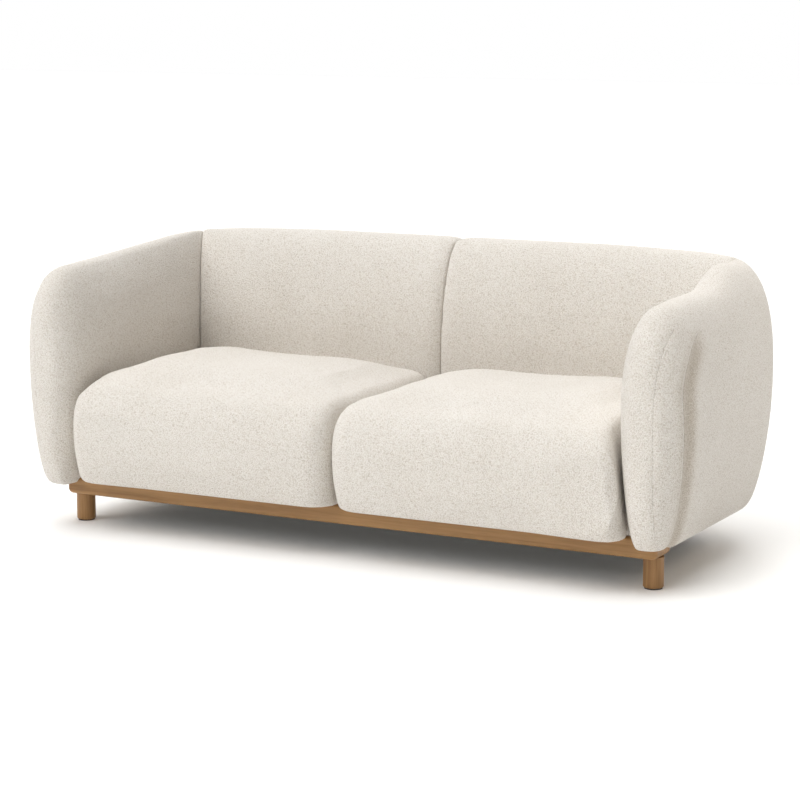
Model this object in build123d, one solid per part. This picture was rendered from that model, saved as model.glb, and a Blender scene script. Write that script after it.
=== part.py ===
from build123d import *
import os
from math import atan, degrees, sqrt

# A two-seat upholstered sofa on a low wooden plinth with round legs.
# Millimetres. X runs along the sofa, the front faces -Y, the floor is Z = 0.

# Overall size
WIDTH = 1860
DEPTH = 904
FRONT_Y = -DEPTH / 2
REAR_Y = DEPTH / 2

# Plinth and legs
FRONT_RAIL_HALF = 842
REAR_RAIL_HALF = 745
SIDE_RAIL_OUT_X = 775
PLINTH_FRONT_Y = FRONT_Y + 106
PLINTH_REAR_Y = REAR_Y - 130
PLINTH_FOOT_Z = 78
PLINTH_TOP_Z = 128
FRONT_RAIL_W = 84
SIDE_RAIL_W = 80
REAR_RAIL_W = 80
RAIL_END_R = 14
RAIL_EDGE_R = 8
CROSS_RAIL_W = 60
LEG_D = 50
FRONT_LEG_X = FRONT_RAIL_HALF - 26
REAR_LEG_X = REAR_RAIL_HALF - 105
LEG_INSET = 47
LEG_FOOT_R = 4
GLIDE_D = 44
GLIDE_H = 3
HANGER_BOLT_D = 8
HANGER_BOLT_BITE = 32
CORNER_BLOCK_LEG = 90
CORNER_BLOCK_H = 32

# Seat deck inside the plinth
STRAP_W = 70
STRAP_T = 2
STRAP_LEDGE = 20
LONG_STRAP_Z = PLINTH_TOP_Z - 6
CROSS_STRAP_Z = LONG_STRAP_Z - STRAP_T
LONG_STRAP_X = (120, 270, 420, 570)
CROSS_STRAP_Y = (-140, 60)
DUST_COVER_T = 1.5
DUST_COVER_INSET = 12

# Upholstered tub: two arms and the back share one bulging wall
WALL_FOOT_Z = PLINTH_TOP_Z - 18
BULGE_Z = 455
CREST_Z = 713
CREST_RISE = 0.08
FOOT_TUCK = 84
FOOT_REACH = BULGE_Z - WALL_FOOT_Z + 2
ARM_CREST_ROUND = (82, 118)
BACK_CREST_ROUND = 150
CREST_POWER = 2.3
REAR_CORNER_R = 300
SEAT_HALF = 752
BACK_FACE_Y = 178
BACK_CREST_Y = REAR_Y - BACK_CREST_ROUND
FLARE_LIFT = 3
FLARE_UPRIGHT = 0.5
FLARE_LEVEL = 0.62
SKY_Z = 900

# Arm facing: the rounded front of each arm
FACING_Y = PLINTH_FRONT_Y + 10
FACING_TRIM = 20
FACING_FRONT_Y = FRONT_Y + 5
FACING_STATIONS = (0, 0.3, 0.5, 0.68, 0.82, 0.92, 0.975)
FACING_DEPTH = (FACING_Y - FACING_FRONT_Y) / FACING_STATIONS[-1]
FACING_SIDE_ROUND = 85
FACING_TOP_ROUND = 170
FACING_FOOT_TUCK = 55
FACING_FOOT_TOP_Z = 345
FACING_UNDER_R = 25
FACING_INNER_TUCK = 30
BULGE_FULLNESS = 0.64
ELLIPSE_FULLNESS = 0.5523

# Seat cushions
SEAT_GAP = 2
SEAT_FOOT_Z = PLINTH_TOP_Z + 1.5
SEAT_EDGE_Z = 397
SEAT_CROWN_Z = 424
SEAT_FRONT_Y = FRONT_Y
SEAT_REAR_Y = BACK_FACE_Y - SEAT_GAP
SEAT_WIDEST_Z = 265
SEAT_FRONT_CORNER_R = 60
SEAT_BACK_CORNER_R = 34
SEAT_FOOT_ROUNDS = (30, 12, 12)
SEAT_FOOT_POWER = 1.7
SEAT_TOP_POWER = 2.6
SEAT_FRONT_ROUND = 100
SEAT_SIDE_ROUND = 42
SEAT_BACK_ROUND = 30
SEAT_CROWN_REACH = (120, 150, 110)
SEAT_CORE_MARGIN = (60, 110)
SEAT_CORE_Z = (150, 355)
SEAT_CORE_R = 25

# Hidden timber in the arms and the back
PANEL_T = 18
ARM_PANEL_IN_X = SIDE_RAIL_OUT_X
ARM_PANEL_OUT_X = 846
ARM_PANEL_FRONT_Y = -248
ARM_PANEL_REAR_Y = 150
ARM_PANEL_TOP_Z = 520
PANEL_FOOT_Z = 104
ARM_OUTER_FOOT_Z = 180
ARM_PANEL_CORNER_R = 60
ARM_WINDOW = (150, 180)
ARM_WINDOW_R = 35
ARM_BATTEN = 40
ARM_BOLT_D = 8
ARM_BOLT_HEAD_D = 16
ARM_BOLT_HEAD_H = 6
ARM_BOLT_Z = 114
ARM_BOLT_Y = (-70, 120)
BACK_BOARD_Y = 290
BACK_BOARD_T = 6
BACK_BOARD_HALF = 700
BACK_POST_X = (120, 660)
BACK_POST = (45, 40)
BACK_POST_TOP_Z = 588
BACK_RAIL_H = 40

os.makedirs("parts", exist_ok=True)


def save(node, shape):
    export_step(shape, f"parts/{node}.step")


def block(x, y, z):
    """A box between two limits on each axis."""
    size = [high - low for low, high in (x, y, z)]
    middle = [(high + low) / 2 for low, high in (x, y, z)]
    return Pos(*middle) * Box(*size)


def both_sides(shape):
    """The right-hand shape and its mirror image on the left."""
    return shape, mirror(shape, about=Plane.YZ)


def rounding(share, depth, power=2.0):
    """How far a rounded edge has drawn in when this share of its height is used."""
    return depth * (1 - (1 - share**power) ** (1 / power))


# Plinth: a frame of four rails with a ledge for the webbing

def end_rail(half, front, rear, outer_y, ledge_y):
    """A rail along the front or the rear, softened where it is seen, with a ledge inside."""
    rail = block((-half, half), (front, rear), (PLINTH_FOOT_Z, PLINTH_TOP_Z))
    rail = fillet(rail.edges().filter_by(Axis.Y).group_by(Axis.Z)[0], RAIL_END_R)
    seen = rail.faces().filter_by(Plane.XZ).sort_by(lambda face: abs(face.center().Y - outer_y))[0]
    rail = fillet(seen.edges(), RAIL_EDGE_R)
    inward = 1 if outer_y > ledge_y else -1
    ledge = sorted((ledge_y, ledge_y + inward * STRAP_LEDGE))
    ledge_half = SIDE_RAIL_OUT_X - SIDE_RAIL_W
    return rail - block((-ledge_half, ledge_half), ledge, (LONG_STRAP_Z, PLINTH_TOP_Z))


def side_rail():
    """The right-hand rail between the front and the rear rail."""
    inner_x = SIDE_RAIL_OUT_X - SIDE_RAIL_W
    span = (PLINTH_FRONT_Y + FRONT_RAIL_W, PLINTH_REAR_Y - REAR_RAIL_W)
    rail = block((inner_x, SIDE_RAIL_OUT_X), span, (PLINTH_FOOT_Z, PLINTH_TOP_Z))
    return rail - block((inner_x, inner_x + STRAP_LEDGE), span, (CROSS_STRAP_Z, PLINTH_TOP_Z))


def corner_block(x, y, toward_x, toward_y):
    """A glued triangle in one inner corner of the plinth."""
    corner = Polyline(
        (x, y), (x + toward_x * CORNER_BLOCK_LEG, y), (x, y + toward_y * CORNER_BLOCK_LEG), close=True)
    return Pos(0, 0, PLINTH_FOOT_Z) * extrude(make_face(corner), CORNER_BLOCK_H, dir=(0, 0, 1))


def leg_and_bolt(x, y):
    """A turned leg with the hanger bolt that holds it to the rail."""
    leg = Pos(x, y, GLIDE_H) * Cylinder(
        LEG_D / 2, PLINTH_FOOT_Z - GLIDE_H, align=(Align.CENTER, Align.CENTER, Align.MIN))
    leg = fillet(leg.edges().group_by(Axis.Z)[0], LEG_FOOT_R)
    bolt = Pos(x, y, PLINTH_FOOT_Z) * Cylinder(HANGER_BOLT_D / 2, 2 * HANGER_BOLT_BITE)
    glide = Pos(x, y, 0) * Cylinder(GLIDE_D / 2, GLIDE_H, align=(Align.CENTER, Align.CENTER, Align.MIN))
    return leg - bolt, bolt, glide


front_span = (PLINTH_FRONT_Y, PLINTH_FRONT_Y + FRONT_RAIL_W)
rear_span = (PLINTH_REAR_Y - REAR_RAIL_W, PLINTH_REAR_Y)
front_rail = end_rail(FRONT_RAIL_HALF, *front_span, outer_y=front_span[0], ledge_y=front_span[1])
rear_rail = end_rail(REAR_RAIL_HALF, *rear_span, outer_y=rear_span[1], ledge_y=rear_span[0])
right_rail = side_rail()

leg_places = {}
for end_name, x, y in (
        ("front", FRONT_LEG_X, PLINTH_FRONT_Y + LEG_INSET),
        ("rear", REAR_LEG_X, PLINTH_REAR_Y - LEG_INSET)):
    leg_places[f"{end_name}_left"] = (-x, y)
    leg_places[f"{end_name}_right"] = (x, y)
leg_bolts = []
glides = []
for corner_name, (x, y) in leg_places.items():
    leg, bolt, glide = leg_and_bolt(x, y)
    save(f"{corner_name}_leg", leg)
    leg_bolts.append(bolt)
    glides.append(glide)
front_rail -= leg_bolts
rear_rail -= leg_bolts
save("leg_bolts", Compound(leg_bolts))
save("leg_glides", Compound(glides))
save("front_plinth_rail", front_rail)
save("rear_plinth_rail", rear_rail)

inner_x = SIDE_RAIL_OUT_X - SIDE_RAIL_W
corner_blocks = [
    corner_block(side * inner_x, y, -side, toward)
    for side in (-1, 1)
    for y, toward in ((front_span[1], 1), (rear_span[0], -1))
]
save("corner_blocks", Compound(corner_blocks))
save("plinth_cross_rail", block(
    (-CROSS_RAIL_W / 2, CROSS_RAIL_W / 2), (front_span[1], rear_span[0]), (PLINTH_FOOT_Z, CROSS_STRAP_Z)))

# Seat deck: straps over the ledges, and the cloth that closes the underside

long_straps = [
    block((x - STRAP_W / 2, x + STRAP_W / 2),
          (front_span[1] - STRAP_LEDGE, rear_span[0] + STRAP_LEDGE),
          (LONG_STRAP_Z, LONG_STRAP_Z + STRAP_T))
    for place in LONG_STRAP_X
    for x in (-place, place)
]
cross_reach = inner_x + STRAP_LEDGE
cross_straps = [
    block((-cross_reach, cross_reach), (y - STRAP_W / 2, y + STRAP_W / 2),
          (CROSS_STRAP_Z, CROSS_STRAP_Z + STRAP_T))
    for y in CROSS_STRAP_Y
]
save("seat_webbing", Compound(long_straps))
save("cross_webbing", Compound(cross_straps))

cover_half = SIDE_RAIL_OUT_X - DUST_COVER_INSET
dust_cover = block(
    (-cover_half, cover_half),
    (PLINTH_FRONT_Y + DUST_COVER_INSET, PLINTH_REAR_Y - DUST_COVER_INSET),
    (PLINTH_FOOT_Z - DUST_COVER_T, PLINTH_FOOT_Z))
leg_notch = LEG_D + DUST_COVER_INSET
for x, y in leg_places.values():
    dust_cover -= Pos(x, y, PLINTH_FOOT_Z) * Box(leg_notch, leg_notch, leg_notch)
save("dust_cover", dust_cover)

# Tub: arms and back in one bulging wall, later cut at the mitres

def wall_inset(z, crest_round):
    """How far the tub's outer face lies inside its widest line at height z."""
    if z <= BULGE_Z:
        return rounding((BULGE_Z - z) / FOOT_REACH, FOOT_TUCK)
    return rounding((z - BULGE_Z) / (CREST_Z - BULGE_Z), crest_round, CREST_POWER)


def tub_section(z):
    """The tub's outline at height z: square at the facings, round at the rear corners."""
    rear_inset = wall_inset(z, BACK_CREST_ROUND)
    front_half, rear_half = [WIDTH / 2 - wall_inset(z, crest_round) for crest_round in ARM_CREST_ROUND]
    front = FACING_Y - FACING_TRIM
    rear = REAR_Y - rear_inset
    outline = make_face(Polyline(
        (-front_half, front), (front_half, front), (rear_half, rear), (-rear_half, rear), close=True))
    outline = fillet(outline.vertices().group_by(Axis.Y)[-1], REAR_CORNER_R - rear_inset)
    tilt = max(0, z - BULGE_Z) / (CREST_Z - BULGE_Z) * degrees(atan(CREST_RISE))
    return Plane.XY.offset(z).rotated((tilt, 0, 0)) * outline


def flare(inner, crest, top_z):
    """The curve from the upright inner face, over the flare, to the crest."""
    reach = crest - inner
    height = top_z - BULGE_Z
    return Bezier(
        (inner, BULGE_Z), (inner, BULGE_Z + FLARE_UPRIGHT * height),
        (crest - FLARE_LEVEL * reach, top_z), (crest, top_z))


def arm_crest_x(y):
    """How far out the arm's crest lies: it draws inward towards the back."""
    front, rear = [WIDTH / 2 - crest_round for crest_round in ARM_CREST_ROUND]
    return front + (rear - front) * (y - FACING_Y) / (BACK_CREST_Y - FACING_Y)


def well_section(y):
    """The seating space between the arms, cut upright at depth y."""
    top_z = CREST_Z + FLARE_LIFT + CREST_RISE * y
    crest_x = arm_crest_x(y)
    right = Curve() + [
        Line((0, 0), (SEAT_HALF, 0)), Line((SEAT_HALF, 0), (SEAT_HALF, BULGE_Z)),
        flare(SEAT_HALF, crest_x, top_z), Line((crest_x, top_z), (crest_x, SKY_Z)),
        Line((crest_x, SKY_Z), (0, SKY_Z)), Line((0, SKY_Z), (0, 0))]
    return Plane.XZ.offset(-y) * make_face(right)


def well_across():
    """The seating space between the arms, from end to end."""
    right = loft([well_section(y) for y in (-DEPTH, DEPTH)], ruled=True)
    return right + mirror(right, about=Plane.YZ)


def well_along():
    """The seating space in front of the back, seen from the side."""
    top_z = CREST_Z + FLARE_LIFT + CREST_RISE * BACK_CREST_Y
    start = -DEPTH
    outline = Curve() + [
        Line((start, 0), (BACK_FACE_Y, 0)), Line((BACK_FACE_Y, 0), (BACK_FACE_Y, BULGE_Z)),
        flare(BACK_FACE_Y, BACK_CREST_Y, top_z), Line((BACK_CREST_Y, top_z), (BACK_CREST_Y, SKY_Z)),
        Line((BACK_CREST_Y, SKY_Z), (start, SKY_Z)), Line((start, SKY_Z), (start, 0))]
    return extrude(Plane.YZ * make_face(outline), WIDTH, both=True)


def facing_section(share):
    """One upright section of the right arm's facing, at this share of its depth."""
    curve = 1 - sqrt(1 - share**2)
    outer = WIDTH / 2 - FACING_SIDE_ROUND * curve
    inner = SEAT_HALF + FACING_SIDE_ROUND * curve
    crest = (outer + inner) / 2
    top = CREST_Z + CREST_RISE * FACING_Y - FACING_TOP_ROUND * curve
    tuck = max(0, 1 - FACING_DEPTH * (1 - share) / FACING_FOOT_TUCK)
    foot = FACING_FOOT_TOP_Z - (FACING_FOOT_TOP_Z - WALL_FOOT_Z) * sqrt(1 - tuck**2)
    foot_reach = min(FOOT_TUCK, outer - crest)
    under = FACING_UNDER_R * (1 - curve)
    toe = inner + FACING_INNER_TUCK * (1 - curve)
    rise = BULGE_Z - foot
    bend = ELLIPSE_FULLNESS
    edges = Curve() + [
        Line((toe + under, foot), (outer - foot_reach, foot)),
        Bezier((outer - foot_reach, foot), (outer - foot_reach * (1 - bend), foot),
               (outer, BULGE_Z - rise * bend), (outer, BULGE_Z)),
        Bezier((outer, BULGE_Z), (outer, BULGE_Z + BULGE_FULLNESS * (top - BULGE_Z)),
               (crest + BULGE_FULLNESS * (outer - crest), top), (crest, top)),
        flare(inner, crest, top),
        Bezier((inner, BULGE_Z), (inner, BULGE_Z - rise * bend), (toe, foot + under), (toe + under, foot))]
    return Plane.XZ.offset(FACING_DEPTH * share - FACING_Y) * make_face(edges)


TUB_LEVELS = (WALL_FOOT_Z, 130, 163, 208, 268, 348, BULGE_Z, 545, 607, 651, 681, 700, 710, CREST_Z)
plinth_room = [
    block((-FRONT_RAIL_HALF, FRONT_RAIL_HALF), front_span, (0, PLINTH_TOP_Z)),
    block((-REAR_RAIL_HALF, REAR_RAIL_HALF), rear_span, (0, PLINTH_TOP_Z)),
    block((-SIDE_RAIL_OUT_X, SIDE_RAIL_OUT_X), (PLINTH_FRONT_Y, PLINTH_REAR_Y), (0, PLINTH_TOP_Z)),
]
tub = loft([tub_section(z) for z in TUB_LEVELS])
tub = split(tub, bisect_by=Plane.XZ.offset(-FACING_Y), keep=Keep.BOTTOM)
tub = tub - (well_across() & well_along()) - plinth_room

mitre_run = Vector(arm_crest_x(BACK_CREST_Y) - SEAT_HALF, BACK_CREST_Y - BACK_FACE_Y, 0)
mitre = Plane(
    origin=(SEAT_HALF, BACK_FACE_Y, 0), z_dir=(mitre_run.Y, -mitre_run.X, 0))
right_half = split(tub, bisect_by=Plane.YZ, keep=Keep.TOP)
right_arm = split(right_half, bisect_by=mitre, keep=Keep.TOP)
right_back = split(right_half, bisect_by=mitre, keep=Keep.BOTTOM)
right_facing = loft([facing_section(share) for share in FACING_STATIONS]) - plinth_room

# Timber inside the arms

def arm_panel(x, foot_z):
    """An upright plywood panel with two windows that save weight."""
    panel = block((x, x + PANEL_T), (ARM_PANEL_FRONT_Y, ARM_PANEL_REAR_Y), (foot_z, ARM_PANEL_TOP_Z))
    top_front = panel.edges().filter_by(Axis.X).group_by(Axis.Z)[-1].sort_by(Axis.Y)[0]
    panel = fillet(top_front, ARM_PANEL_CORNER_R)
    middle_y = (ARM_PANEL_FRONT_Y + ARM_PANEL_REAR_Y) / 2
    middle_z = (ARM_OUTER_FOOT_Z + ARM_PANEL_TOP_Z) / 2
    window = RectangleRounded(*ARM_WINDOW, ARM_WINDOW_R)
    for side in (-1, 1):
        place = Plane((x, middle_y + side * ARM_WINDOW[0] * 0.65, middle_z), x_dir=(0, 1, 0), z_dir=(1, 0, 0))
        panel -= extrude(place * window, PANEL_T)
    return panel


def arm_battens():
    """The battens that hold the two panels of an arm apart."""
    gap = (ARM_PANEL_IN_X + PANEL_T, ARM_PANEL_OUT_X)
    lows_y = (ARM_PANEL_FRONT_Y, ARM_PANEL_REAR_Y - ARM_BATTEN)
    lows_z = (ARM_OUTER_FOOT_Z, ARM_PANEL_TOP_Z - ARM_PANEL_CORNER_R - ARM_BATTEN)
    return [
        block(gap, (y, y + ARM_BATTEN), (z, z + ARM_BATTEN)) for y in lows_y for z in lows_z]


def arm_bolts():
    """Bolts from the side rail out into the foot of the inner panel."""
    head_x = SIDE_RAIL_OUT_X - SIDE_RAIL_W - ARM_BOLT_HEAD_H
    length = ARM_PANEL_IN_X + PANEL_T - head_x
    upright = (Align.CENTER, Align.CENTER, Align.MIN)
    head = Cylinder(ARM_BOLT_HEAD_D / 2, ARM_BOLT_HEAD_H, align=upright)
    shank = Cylinder(ARM_BOLT_D / 2, length, align=upright)
    return [Pos(head_x, y, ARM_BOLT_Z) * Rot(0, 90, 0) * (head + shank) for y in ARM_BOLT_Y]


inner_panel = arm_panel(ARM_PANEL_IN_X, PANEL_FOOT_Z)
outer_panel = arm_panel(ARM_PANEL_OUT_X, ARM_OUTER_FOOT_Z)
battens = arm_battens()
bolts = arm_bolts()
right_arm = right_arm - inner_panel - outer_panel - battens - bolts
inner_panel -= bolts
right_rail -= bolts

arm_pieces = {
    "arm": right_arm,
    "arm_facing": right_facing,
    "arm_inner_panel": inner_panel,
    "arm_outer_panel": outer_panel,
    "plinth_rail": right_rail,
}
for name, piece in arm_pieces.items():
    right_piece, left_piece = both_sides(piece)
    save(f"right_{name}", right_piece)
    save(f"left_{name}", left_piece)
for name, group in (("arm_battens", battens), ("arm_bolts", bolts)):
    pairs = [both_sides(piece) for piece in group]
    save(name, Compound([piece for pair in pairs for piece in pair]))

# Timber inside the back

post_y = BACK_BOARD_Y + BACK_BOARD_T
posts = [
    block((x - BACK_POST[0] / 2, x + BACK_POST[0] / 2), (post_y, post_y + BACK_POST[1]),
          (PLINTH_TOP_Z, BACK_POST_TOP_Z))
    for place in BACK_POST_X
    for x in (-place, place)
]
top_rail = block((-BACK_BOARD_HALF, BACK_BOARD_HALF), (post_y, post_y + BACK_POST[1]),
                 (BACK_POST_TOP_Z, BACK_POST_TOP_Z + BACK_RAIL_H))
back_board = block((-BACK_BOARD_HALF, BACK_BOARD_HALF), (BACK_BOARD_Y, post_y),
                   (PLINTH_TOP_Z, BACK_POST_TOP_Z + BACK_RAIL_H))
right_back = right_back - posts - top_rail - back_board
right_piece, left_piece = both_sides(right_back)
save("right_back", right_piece)
save("left_back", left_piece)
save("back_posts", Compound(posts))
save("back_top_rail", top_rail)
save("back_board", back_board)

# Seat cushions: a cover with a foam core

def seat_section(z, front, side, back):
    """A cushion's outline at height z, drawn in by the given amounts."""
    low_x = SEAT_GAP / 2 + side
    high_x = SEAT_HALF - SEAT_GAP - side
    low_y = SEAT_FRONT_Y + front
    high_y = SEAT_REAR_Y - back
    outline = make_face(Polyline(
        (low_x, low_y), (high_x, low_y), (high_x, high_y), (low_x, high_y), close=True))
    outline = fillet(outline.vertices().group_by(Axis.Y)[0], SEAT_FRONT_CORNER_R)
    outline = fillet(outline.vertices().group_by(Axis.Y)[-1], SEAT_BACK_CORNER_R)
    return Pos(0, 0, z) * outline


def seat_block():
    """The outside of the right-hand cushion."""
    sections = []
    for share in (1, 0.96, 0.85, 0.6, 0):
        insets = [rounding(share, depth, SEAT_FOOT_POWER) for depth in SEAT_FOOT_ROUNDS]
        z = SEAT_WIDEST_Z - (SEAT_WIDEST_Z - SEAT_FOOT_Z) * share
        sections.append(seat_section(z, *insets))
    depths = (SEAT_FRONT_ROUND, SEAT_SIDE_ROUND, SEAT_BACK_ROUND)
    for share in (0.35, 0.6, 0.8, 0.92, 0.985):
        insets = [rounding(share, depth, SEAT_TOP_POWER) for depth in depths]
        z = SEAT_WIDEST_Z + (SEAT_EDGE_Z - SEAT_WIDEST_Z) * share
        sections.append(seat_section(z, *insets))
    for share in (0.3, 0.6, 0.85, 1):
        insets = [depth + reach * share for depth, reach in zip(depths, SEAT_CROWN_REACH)]
        z = SEAT_EDGE_Z + (SEAT_CROWN_Z - SEAT_EDGE_Z) * (1 - (1 - share) ** 2)
        sections.append(seat_section(z, *insets))
    return loft(sections)


def foam_core():
    """The block of foam inside the cushion's quilted cover."""
    side, front = SEAT_CORE_MARGIN
    core = block((side, SEAT_HALF - side), (SEAT_FRONT_Y + front, SEAT_REAR_Y - side), SEAT_CORE_Z)
    return fillet(core.edges().filter_by(Axis.Z), SEAT_CORE_R)


seat_core = foam_core()
seat_cover = seat_block() - seat_core
for name, piece in (("seat_cover", seat_cover), ("seat_core", seat_core)):
    right_piece, left_piece = both_sides(piece)
    save(f"right_{name}", right_piece)
    save(f"left_{name}", left_piece)
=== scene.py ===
from math import radians

import bpy
import numpy as np
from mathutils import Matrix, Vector


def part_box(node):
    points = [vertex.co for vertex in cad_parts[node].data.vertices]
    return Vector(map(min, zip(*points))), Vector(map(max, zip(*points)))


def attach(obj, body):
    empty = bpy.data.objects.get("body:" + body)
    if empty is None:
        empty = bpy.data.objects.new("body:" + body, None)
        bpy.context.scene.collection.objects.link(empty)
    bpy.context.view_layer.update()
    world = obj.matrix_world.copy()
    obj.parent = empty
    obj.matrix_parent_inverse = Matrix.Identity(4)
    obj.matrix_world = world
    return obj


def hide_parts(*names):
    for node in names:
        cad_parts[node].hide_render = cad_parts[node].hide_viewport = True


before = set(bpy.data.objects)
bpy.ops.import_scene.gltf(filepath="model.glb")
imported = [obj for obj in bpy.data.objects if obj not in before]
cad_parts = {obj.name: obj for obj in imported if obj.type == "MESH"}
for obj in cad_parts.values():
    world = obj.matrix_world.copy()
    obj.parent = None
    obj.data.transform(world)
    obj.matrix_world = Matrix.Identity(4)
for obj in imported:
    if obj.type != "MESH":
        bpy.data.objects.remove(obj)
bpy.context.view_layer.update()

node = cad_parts


# Plinth rails and legs: planed oak with rounded edges under a satin lacquer.
# The rails are dowelled into a low frame, and each turned leg is screwed up
# into it on a hanger bolt. The grain runs along the rails and up the legs.

class Amount:
    """A shader output that Python arithmetic works on."""

    def __init__(self, finish, socket):
        self.finish = finish
        self.socket = socket

    def sum(self, operation, first, second):
        return self.finish.add("ShaderNodeMath", {"operation": operation}, {0: first, 1: second})

    def __add__(self, other):
        return self.sum("ADD", self, other)

    def __sub__(self, other):
        return self.sum("SUBTRACT", self, other)

    def __mul__(self, other):
        return self.sum("MULTIPLY", self, other)

    def __or__(self, other):
        return self.sum("MAXIMUM", self, other)

    def __rsub__(self, other):
        return self.sum("SUBTRACT", other, self)

    __radd__ = __add__
    __rmul__ = __mul__


class Finish:
    """A material, or the world round the object, that is built up node by node."""

    def __init__(self, name, world=False):
        self.block = (bpy.data.worlds if world else bpy.data.materials).new(name)
        self.block.use_nodes = True
        self.tree = self.block.node_tree
        self.shader = self.tree.nodes["Background" if world else "Principled BSDF"]

    def feed(self, socket, value):
        if isinstance(value, Amount):
            self.tree.links.new(value.socket, socket)
        else:
            socket.default_value = value

    def add(self, kind, settings=None, sockets=None, output=0):
        made = self.tree.nodes.new(kind)
        for key, value in (settings or {}).items():
            if key == "stops":
                ramp = made.color_ramp.elements
                while len(ramp) < len(value):
                    ramp.new(0.5)
                for element, (place, colour) in zip(ramp, value):
                    element.position = place
                    element.color = (*colour, 1)
            else:
                setattr(made, key, value)
        for key, value in (sockets or {}).items():
            self.feed(made.inputs[key], value)
        return Amount(self, made.outputs[output])

    def place(self, scale=(1, 1, 1)):
        """Object coordinates, stretched by a scale per axis."""
        point = self.add("ShaderNodeTexCoord", output="Object")
        return self.add("ShaderNodeMapping", None, {"Vector": point, "Scale": scale})

    def noise(self, point, scale, detail=2.0, distortion=0.0):
        return self.add("ShaderNodeTexNoise", None, {
            "Vector": point, "Scale": scale, "Detail": detail, "Distortion": distortion})

    def tone(self, factor, *stops):
        return self.add("ShaderNodeValToRGB", {"stops": stops}, {"Fac": factor})

    def bump(self, height, strength, distance):
        return self.add("ShaderNodeBump", None, {
            "Height": height, "Strength": strength, "Distance": distance})

    def within(self, distance, reach):
        """1 where a distance is nil, fading to 0 at the reach."""
        size = self.add("ShaderNodeMath", {"operation": "ABSOLUTE"}, {0: distance})
        return self.add("ShaderNodeMapRange", {"interpolation_type": "SMOOTHSTEP"}, {
            "Value": size, "From Max": reach, "To Min": 1.0, "To Max": 0.0})

    def surface(self, **values):
        """Sets the shader's sockets; an underscore stands for a space."""
        for key, value in values.items():
            self.feed(self.shader.inputs[key.replace("_", " ")], value)
        return self.block


def oak(name, along):
    """Straight-grained oak whose grain runs along one axis."""
    finish = Finish(name)
    lines_along, lines_across, pores_to_figure = 3, 70, 9
    stretch = [lines_along if axis == along else lines_across for axis in "XYZ"]
    pore_stretch = [pores_to_figure * share for share in stretch]
    figure = finish.noise(finish.place(stretch), scale=1.0, detail=5.0, distortion=0.7)
    pores = finish.noise(finish.place(pore_stretch), scale=1.0)
    oak_dark, oak_warm, oak_pale = (
        (0.245, 0.118, 0.036), (0.350, 0.182, 0.062), (0.440, 0.243, 0.090))
    return finish.surface(
        Base_Color=finish.tone(
            figure * 0.75 + pores * 0.25,
            (0.30, oak_dark), (0.48, oak_warm), (0.68, oak_pale)),
        Roughness=0.36 + pores * 0.16,
        Normal=finish.bump(pores, strength=0.16, distance=0.0008))


def dress(material, *names):
    """Gives CAD nodes their finish."""
    for name in names:
        for slot in node[name].material_slots:
            slot.material = material


dress(oak("oak_along_rail", "X"), "front_plinth_rail", "rear_plinth_rail")
dress(oak("oak_along_side_rail", "Y"), "left_plinth_rail", "right_plinth_rail")
dress(
    oak("oak_up_leg", "Z"),
    "front_left_leg", "front_right_leg", "rear_left_leg", "rear_right_leg")


# Glides and bolts: moulded nylon discs nailed under the legs, and zinc-plated
# steel bolts that draw the legs and the arms to the plinth.

nylon = Finish("nylon")
nylon_speck = nylon.noise(nylon.place(), scale=900.0)
nylon_black, nylon_grey = (0.020, 0.018, 0.016), (0.040, 0.036, 0.032)
dress(
    nylon.surface(
        Base_Color=nylon.tone(nylon_speck, (0.3, nylon_black), (0.7, nylon_grey)),
        Roughness=0.5 + nylon_speck * 0.2),
    "leg_glides")

zinc = Finish("zinc")
zinc_speck = zinc.noise(zinc.place(), scale=300.0, detail=4.0)
zinc_dull, zinc_bright = (0.48, 0.48, 0.46), (0.64, 0.64, 0.61)
dress(
    zinc.surface(
        Base_Color=zinc.tone(zinc_speck, (0.3, zinc_dull), (0.7, zinc_bright)),
        Metallic=1.0,
        Roughness=0.28 + zinc_speck * 0.2),
    "leg_bolts", "arm_bolts")


# Hidden timber: raw plywood panels, softwood battens and posts, glued and
# stapled. The cross rail and the corner blocks stiffen the plinth.

plywood = Finish("plywood")
veneer = plywood.noise(plywood.place((4, 60, 40)), scale=1.0, detail=4.0, distortion=1.0)
veneer_dark, veneer_pale = (0.50, 0.36, 0.21), (0.68, 0.53, 0.35)
dress(
    plywood.surface(
        Base_Color=plywood.tone(veneer, (0.3, veneer_dark), (0.7, veneer_pale)),
        Roughness=0.7 + veneer * 0.15,
        Normal=plywood.bump(veneer, strength=0.2, distance=0.001)),
    "plinth_cross_rail", "corner_blocks", "arm_battens",
    "back_posts", "back_top_rail", "back_board",
    "left_arm_inner_panel", "right_arm_inner_panel",
    "left_arm_outer_panel", "right_arm_outer_panel")


# Seat deck: elastic webbing stapled to the plinth's ledges, and a black
# non-woven cloth stapled underneath to keep dust out.

webbing = Finish("webbing")
rib = webbing.add("ShaderNodeTexWave", {"bands_direction": "DIAGONAL"}, {
    "Vector": webbing.place(), "Scale": 120.0, "Distortion": 0.4})
webbing_black, webbing_brown = (0.025, 0.023, 0.021), (0.075, 0.068, 0.060)
dress(
    webbing.surface(
        Base_Color=webbing.tone(rib, (0.2, webbing_black), (0.8, webbing_brown)),
        Roughness=0.85,
        Normal=webbing.bump(rib, strength=0.4, distance=0.001)),
    "seat_webbing", "cross_webbing")

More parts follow.
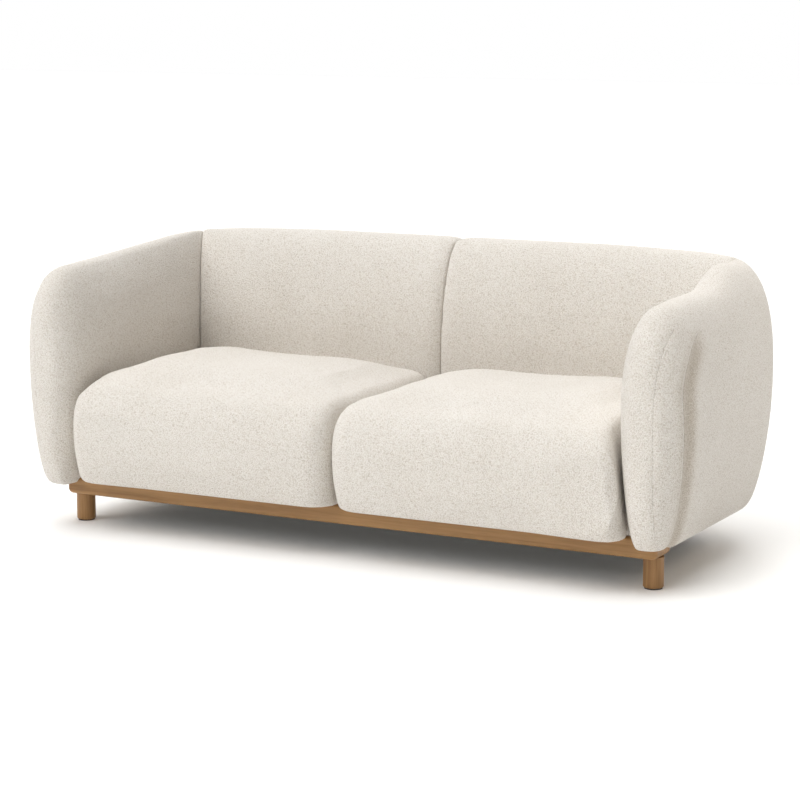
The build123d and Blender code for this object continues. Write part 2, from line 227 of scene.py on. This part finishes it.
dust_cloth = Finish("dust_cloth")
felt = dust_cloth.noise(dust_cloth.place(), scale=420.0, detail=3.0)
felt_black, felt_grey = (0.010, 0.010, 0.010), (0.030, 0.030, 0.030)
dress(
    dust_cloth.surface(
        Base_Color=dust_cloth.tone(felt, (0.35, felt_black), (0.7, felt_grey)),
        Roughness=0.92,
        Normal=dust_cloth.bump(felt, strength=0.3, distance=0.0006)),
    "dust_cover")


# Foam cores: blocks of pale foam that are sawn to the shape of the seat
# cushions. Each lies in a cover of its own and gives the seat its spring.

foam = Finish("foam")
cells = foam.add("ShaderNodeTexVoronoi", None, {"Vector": foam.place(), "Scale": 500.0})
foam_deep, foam_pale = (0.62, 0.55, 0.36), (0.80, 0.74, 0.54)
dress(
    foam.surface(
        Base_Color=foam.tone(cells, (0.1, foam_deep), (0.6, foam_pale)),
        Roughness=0.95,
        Normal=foam.bump(cells, strength=0.4, distance=0.001)),
    "left_seat_core", "right_seat_core")


# Arms: foam over plywood, dressed in wadding and a looped wool-blend cloth
# that is pulled tight and stapled under the plinth. One seam runs round the
# outer panel behind the nose, and a finer one down the front of the nose.

boucle = Finish("boucle")
weave = boucle.place()
loop_cells = boucle.add("ShaderNodeTexVoronoi", None, {"Vector": weave, "Scale": 340.0})
loops = 1 - 1.5 * loop_cells
curls = boucle.noise(weave, scale=460.0, distortion=0.4)
nap = boucle.noise(weave, scale=5.0)
pile = loops * 0.45 + curls * 0.55

fold_behind, painted_shade_behind = 0.004, 0.026
sewing = boucle.add("ShaderNodeAttribute", {"attribute_name": "sewing"}, output="Vector")
to_seam, to_crease, sewn = [
    boucle.add("ShaderNodeSeparateXYZ", None, {0: sewing}, axis) for axis in "XYZ"]
thread = sewn * boucle.within(to_seam, reach=0.0024)
# The seam's groove and the nose crease are dented by the bump, and the same mask darkens the
# cloth there as painted shade.
seam_fold = boucle.within(to_seam + fold_behind, reach=0.004)
nose_fold = boucle.within(to_crease, reach=0.002)
fold_dent_and_painted_shade = sewn * (seam_fold + 0.6 * nose_fold)
# Painted shade: a broad band behind the outer seam is darkened in colour to stand in for the
# shade of the valley there.
painted_seam_shade = sewn * boucle.within(to_seam + painted_shade_behind, reach=0.055)

# The two lowest stops are reached in the pits between the loops and where painted shade darkens
# the cloth.
cloth_deep, cloth_shade = (0.500, 0.430, 0.345), (0.590, 0.525, 0.442)
cloth_cream, cloth_tip = (0.785, 0.733, 0.663), (0.925, 0.890, 0.838)
boucle_cloth = boucle.surface(
    Base_Color=boucle.tone(
        pile * 0.85 + nap * 0.15 + thread * 0.30 - fold_dent_and_painted_shade * 0.10 - painted_seam_shade * 0.31,
        (0.0, cloth_deep), (0.10, cloth_shade), (0.375, cloth_cream), (0.60, cloth_tip)),
    Roughness=0.86 + curls * 0.1,
    Sheen_Weight=0.25,
    Sheen_Roughness=0.5,
    Normal=boucle.bump(pile + thread * 0.5 - fold_dent_and_painted_shade * 0.8, strength=0.75, distance=0.004))

SKIN_VOXEL = 0.0105
SKIN_GAP = 0.0006


def skin_over(name, *sources):
    """One closed skin round copies of CAD nodes."""
    bpy.ops.object.select_all(action="DESELECT")
    for source in sources:
        copy = bpy.data.objects.new(name, node[source].data.copy())
        bpy.context.collection.objects.link(copy)
        copy.select_set(True)
        bpy.context.view_layer.objects.active = copy
    bpy.ops.object.join()
    skin = bpy.context.object
    skin.name = name
    skin.data.materials.clear()
    bpy.ops.object.mode_set(mode="EDIT")
    bpy.ops.mesh.select_all(action="SELECT")
    bpy.ops.mesh.remove_doubles(threshold=0.00002)
    bpy.ops.object.mode_set(mode="OBJECT")
    return skin


def remesh(skin):
    skin.data.remesh_voxel_size = SKIN_VOXEL
    bpy.ops.object.voxel_remesh()


def read(skin, what="co"):
    """The places or the normals of a skin's points."""
    flat = np.empty(len(skin.data.vertices) * 3)
    skin.data.vertices.foreach_get(what, flat)
    return flat.reshape(-1, 3)


def move_to(skin, points):
    skin.data.vertices.foreach_set("co", points.ravel())
    skin.data.update()


def ease(value, low, high):
    """0 at low, 1 at high, smooth between."""
    share = np.clip((value - low) / (high - low), 0, 1)
    return share * share * (3 - 2 * share)


def calm(skin, field, passes, rebound=0.0):
    """Averages a field over each point's neighbours; the rebound keeps a shape's size."""
    ends = np.empty(len(skin.data.edges) * 2, dtype=int)
    skin.data.edges.foreach_get("vertices", ends)
    ends = ends.reshape(-1, 2)
    here, there = np.concatenate((ends, ends[:, ::-1])).T
    size = len(field)
    count = np.bincount(here, minlength=size)[:, None]
    for share in [0.5, -rebound] * passes:
        totals = [np.bincount(here, part[there], size) for part in field.T]
        mean = np.stack(totals, axis=1) / count
        field = field + share * (mean - field)
    return field


def stuff(skin, free, give, passes=20):
    """Rounds a cover off, then blows it up against its stuffing; free is 0 where it is held."""
    shape = read(skin)
    shape += free[:, None] * (calm(skin, shape, passes, rebound=0.53) - shape)
    move_to(skin, shape)
    outward = read(skin, "normal")
    slack, steps, filled_again = 0.5 * give, 20, 0.75
    held = skin.vertex_groups.new(name="held")
    for index, share in enumerate(free):
        held.add([index], float(1 - share), "REPLACE")
    move_to(skin, shape - slack * free[:, None] * outward)
    cloth = skin.modifiers.new("stuffing", "CLOTH")
    cloth.settings.quality = 4
    cloth.settings.mass = 0.4
    cloth.settings.tension_stiffness = 60
    cloth.settings.compression_stiffness = 60
    cloth.settings.shear_stiffness = 30
    cloth.settings.bending_stiffness = 30
    cloth.settings.air_damping = 4
    cloth.settings.use_pressure = True
    cloth.settings.uniform_pressure_force = 4
    cloth.settings.vertex_group_mass = "held"
    cloth.settings.effector_weights.gravity = 0
    cloth.collision_settings.use_collision = False
    for step in range(1, steps + 1):
        bpy.context.scene.frame_set(step)
    bpy.ops.object.modifier_apply(modifier=cloth.name)
    bpy.context.scene.frame_set(1)
    swell = read(skin) - shape
    length = np.linalg.norm(swell, axis=1, keepdims=True)
    swell *= np.minimum(1, give / np.maximum(length, 1e-9))
    pulled_in = np.minimum((swell * outward).sum(axis=1), 0)
    swell -= filled_again * pulled_in[:, None] * outward
    shape = shape + free[:, None] * calm(skin, swell, passes=10)
    return shape


def hold_back(points, origin, normal):
    """Keeps points on the near side of a plane."""
    past = np.maximum((points - np.array(origin)) @ np.array(normal), 0)
    return points - past[:, None] * np.array(normal)


def settle(skin, points):
    """Sets a stuffed skin's shape and makes its mesh finer."""
    move_to(skin, points)
    finer = skin.modifiers.new("finer", "SUBSURF")
    finer.levels = 1
    finer.render_levels = 1
    bpy.ops.object.modifier_apply(modifier=finer.name)
    return read(skin)


def mirrored(skin, name):
    """The left-hand copy of a right-hand skin."""
    copy = bpy.data.objects.new(name, skin.data.copy())
    bpy.context.collection.objects.link(copy)
    move_to(copy, read(skin) * (-1, 1, 1))
    copy.data.flip_normals()
    return copy


def cover(skin, body, fill, *stands_for):
    """Dresses a finished padded piece, parents it to its body and hides the CAD nodes it stands
    for.
    """
    bpy.ops.object.select_all(action="DESELECT")
    skin.select_set(True)
    bpy.context.view_layer.objects.active = skin
    bpy.ops.object.shade_smooth()
    skin.data.materials.append(boucle_cloth)
    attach(skin, body)
    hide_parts(*stands_for)


arm_low, arm_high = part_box("right_arm")
facing_low, facing_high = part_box("right_arm_facing")
back_low, back_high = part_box("right_back")
foot_fade = (arm_low.z + 0.012, arm_low.z + 0.07)
mitre_fade = (0.004, 0.04)
corner_in_x, corner_in_y = 0.118, 0.150
mitre_run = np.array((
    arm_high.x - corner_in_x - arm_low.x,
    back_high.y - corner_in_y - back_low.y))
mitre_out = np.array((mitre_run[1], -mitre_run[0], 0)) / np.linalg.norm(mitre_run)
mitre_foot = np.array((arm_low.x, back_low.y, 0))


def from_mitre(points):
    """How far points lie from the mitre between arm and back, on the arm's side."""
    return (points - mitre_foot) @ mitre_out


# The seam climbs behind the nose, leaning forward, and turns back in an arc.
seam_y, seam_z, seam_radius, seam_lean = -0.245, 0.475, 0.148, 0.09
crease_x, crease_z, crease_bend = 0.866, 0.433, 0.6
outer_panel_x, nose_front_y, far_off = 0.845, -0.38, 0.05
outside_fade, front_fade = (0.84, 0.86), (0.24, 0.32)


def seams(points):
    """Distances to the outer seam and the nose crease, and how firmly they are sewn."""
    x, y, z = points.T
    ahead = np.minimum(y - seam_y, 0)
    above = np.maximum(z - seam_z, 0)
    below = np.maximum(seam_z - z, 0)
    from_seam = np.hypot(ahead, above) - seam_radius + seam_lean * below
    from_crease = x - crease_x - crease_bend * np.maximum(z - crease_z, 0) ** 2
    from_seam = np.where(x > outer_panel_x, from_seam, far_off)
    from_crease = np.where(y < nose_front_y, from_crease, far_off)
    firm = ease(-y, *front_fade) * ease(x, *outside_fade)
    return np.stack((from_seam, from_crease, firm), axis=1)


arm = skin_over(
    "right_arm_pad",
    "right_arm", "right_arm_facing", "right_arm_inner_panel", "right_arm_outer_panel")
remesh(arm)
shape = read(arm)
free = ease(shape[:, 2], *foot_fade) * ease(from_mitre(shape), *mitre_fade)
shape = stuff(arm, free, give=0.010)

belly = 0.015
x, y, z = shape.T
underside = ease(-z, -0.30, -0.13) * ease(x, 0.845, 0.875)
shape = shape - belly * underside[:, None] * (0, 0, 1)
shape = hold_back(shape, (arm_low.x + SKIN_GAP, 0, 0), (-1, 0, 0))
shape = settle(arm, shape)

valley_depth, valley_behind, valley_width = 0.006, 0.020, 0.018
crease_depth, crease_width = 0.0012, 0.008
sewn_at = seams(shape)
from_seam, from_crease, firm = sewn_at.T
valley = valley_depth * np.exp(-((from_seam + valley_behind) / valley_width) ** 2)
valley += crease_depth * np.exp(-(from_crease / crease_width) ** 2)
move_to(arm, shape - (valley * firm)[:, None] * read(arm, "normal"))
layer = arm.data.attributes.new("sewing", "FLOAT_VECTOR", "POINT")
layer.data.foreach_set("vector", sewn_at.ravel())
cover(mirrored(arm, "left_arm_pad"), "frame", 0.8, "left_arm", "left_arm_facing")

# The right arm's inner crest is a slack S: it dips in front and rises behind.
crest_x, crest_skew = 0.829, 0.056
dip_y, dip_depth, dip_ahead, dip_behind = -0.065, 0.015, 0.15, 0.06
hump_y, hump_height, hump_width = 0.090, 0.016, 0.075
x, y, z = read(arm).T
inner_crest = ease(z, 0.54, 0.66) * ease(crest_x - crest_skew * y - x, -0.085, 0.010)
dip = np.exp(-((y - dip_y) / np.where(y < dip_y, dip_ahead, dip_behind)) ** 2)
hump = np.exp(-((y - hump_y) / hump_width) ** 2)
lift = inner_crest * (hump_height * hump - dip_depth * dip)
move_to(arm, np.stack((x, y, z + lift), axis=1))
cover(arm, "frame", 0.8, "right_arm", "right_arm_facing")


# Back: two padded halves over one plywood board, with softwood posts behind.
# Their covers are drawn together into a deep crease at the middle.

back = skin_over("right_back_pad", "right_back", "back_board", "back_posts", "back_top_rail")
remesh(back)
bpy.ops.object.mode_set(mode="EDIT")
bpy.ops.mesh.select_all(action="SELECT")
bpy.ops.mesh.bisect(
    plane_co=(SKIN_GAP, 0, 0), plane_no=(1, 0, 0), use_fill=True, clear_inner=True)
bpy.ops.object.mode_set(mode="OBJECT")
remesh(back)
shape = read(back)
free = ease(shape[:, 2], *foot_fade) * ease(-from_mitre(shape), *mitre_fade)
free *= ease(shape[:, 1], back_low.y + 0.001, back_low.y + 0.035)
shape = stuff(back, free, give=0.010)

crown_height, middle_reach, middle_draw, middle_drop = 0.008, 0.040, 0.11, 0.025
back_mid = (back_low + back_high) / 2
x, y, z = shape.T
crown = ease(z, 0.58, 0.72) * ease(-x, -0.78, -0.40)
middle = np.maximum(1 - x / middle_reach, 0) ** 2
drawn_y = middle_draw * middle * (back_mid.y - y)
drawn_z = middle_drop * middle * np.maximum(z - back_mid.z, 0)
shape = np.stack((x, y + drawn_y, z + crown_height * crown - drawn_z), axis=1)
shape = hold_back(shape, (SKIN_GAP, 0, 0), (-1, 0, 0))
shape = hold_back(shape, (0, back_low.y + SKIN_GAP, 0), (0, -1, 0))
move_to(back, settle(back, shape))
cover(mirrored(back, "left_back_pad"), "frame", 0.8, "left_back")
cover(back, "frame", 0.8, "right_back")


# Seat cushions: a foam core in a wadded cover, crowned on top and bulging over
# the rail. They lie loose on the webbing and lift out.

seat_low, seat_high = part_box("right_seat_cover")
seat = skin_over("right_seat_pad", "right_seat_cover")
remesh(seat)
shape = read(seat)
free = ease(shape[:, 2], seat_low.z + 0.004, seat_low.z + 0.04)
shape = stuff(seat, free, give=0.012, passes=40)

shoulder_height, rear_loss = 0.014, 0.6
x, y, z = shape.T
shoulder = ease(z, 0.22, 0.38) * ease(x, 0.42, 0.66) * ease(y, -0.47, -0.30)
shoulder *= 1 - rear_loss * ease(y, -0.05, 0.15)
shape = np.stack((np.minimum(x, seat_high.x), y, z + shoulder_height * shoulder), axis=1)
shape = hold_back(shape, (seat_low.x, 0, 0), (-1, 0, 0))
shape = hold_back(shape, (0, seat_high.y, 0), (0, 1, 0))
shape = settle(seat, shape)

# The nose turns away from the cushion in front and tucks under towards the rail.
nose_depth, nose_width, nose_most = facing_high.y - facing_low.y, 0.085, 0.975
tuck_rate, tuck_top, cover_gap, forward_share = 0.315, 0.38, 0.004, 0.3


def fill_out(points, reach, low_reach):
    """Widens a cushion's front end into the space beside the arm's nose."""
    x, y, z = points.T
    along_nose = np.clip((facing_high.y - y) / nose_depth * nose_most, 0, nose_most)
    nose_turn = 1 - np.sqrt(1 - along_nose**2)
    in_front = ease(-y, 0.336, 0.365)
    nose_tuck = tuck_rate * np.maximum(tuck_top - z, 0) ** 1.5 * in_front
    room = nose_width * nose_turn + nose_tuck * (1 - nose_turn) - cover_gap * in_front
    wanted = reach + low_reach * ease(-z, -0.26, -0.15)
    swell = np.minimum(room, wanted) * ease(x, 0.53, 0.67)
    return np.stack((x + swell, np.maximum(y - forward_share * swell, seat_low.y), z), axis=1)


move_to(seat, fill_out(shape, reach=0.020, low_reach=0.0))
cover(mirrored(seat, "left_seat_pad"), "left_seat", 0.75, "left_seat_cover")
move_to(seat, fill_out(shape, reach=0.032, low_reach=0.032))
cover(seat, "right_seat", 0.75, "right_seat_cover")


# Studio: a white floor that runs out to a white surround, lit like a product
# shot by three broad lamps, from the front left, overhead and the rear, and a
# weak panel on the right. The camera stands in front, to the right.

bpy.ops.object.select_all(action="DESELECT")
bpy.ops.mesh.primitive_plane_add(size=60)
floor = bpy.context.object
floor.name = "studio_floor"
paper = Finish("paper")
floor.data.materials.append(paper.surface(
    Base_Color=(0.93, 0.928, 0.92, 1),
    Roughness=0.9,
    Emission_Color=(1.0, 0.97, 0.90, 1),
    Emission_Strength=0.065))


def hang(light, toward, place=(0, 0, 0)):
    """Puts a lamp in its place and aims it."""
    lamp = bpy.data.objects.new(light.name, light)
    lamp.location = place
    lamp.rotation_euler = Vector(toward).to_track_quat("-Z", "Y").to_euler()
    bpy.context.collection.objects.link(lamp)


for name, toward, energy in (
        ("front_left", (0.38, 0.64, -0.67), 1.75),
        ("overhead", (0.0, 0.10, -1.0), 1.78),
        ("rear", (0.20, -0.78, -0.60), 1.50)):
    sun = bpy.data.lights.new(name, "SUN")
    sun.energy = energy
    sun.angle = radians(50)
    hang(sun, toward)

side = bpy.data.lights.new("side_panel", "AREA")
side.energy = 5.0
side.color = (1.0, 0.91, 0.80)
side.shape = "RECTANGLE"
side.size = 1.4
side.size_y = 0.7
hang(side, (-1.2, -0.5, -0.85), place=(2.1, 0.5, 1.45))

sky = Finish("sky", world=True)
camera_ray, glossy_ray, transmission_ray = [
    sky.add("ShaderNodeLightPath", output=ray)
    for ray in ("Is Camera Ray", "Is Glossy Ray", "Is Transmission Ray")]
level = sky.add("ShaderNodeMapRange", None, {
    "Value": camera_ray | glossy_ray | transmission_ray, "To Min": 0.03, "To Max": 1.0})
bpy.context.scene.world = sky.surface(Color=(1, 1, 1, 1), Strength=level)

lens = bpy.data.cameras.new("camera")
lens.lens = 108
camera = bpy.data.objects.new("camera", lens)
camera.location = (2.8686, -5.4883, 1.3924)
camera.rotation_euler = (radians(90 - 9.61), 0, radians(27.77))
bpy.context.collection.objects.link(camera)
bpy.context.scene.camera = camera
bpy.context.scene.view_settings.view_transform = "Standard"
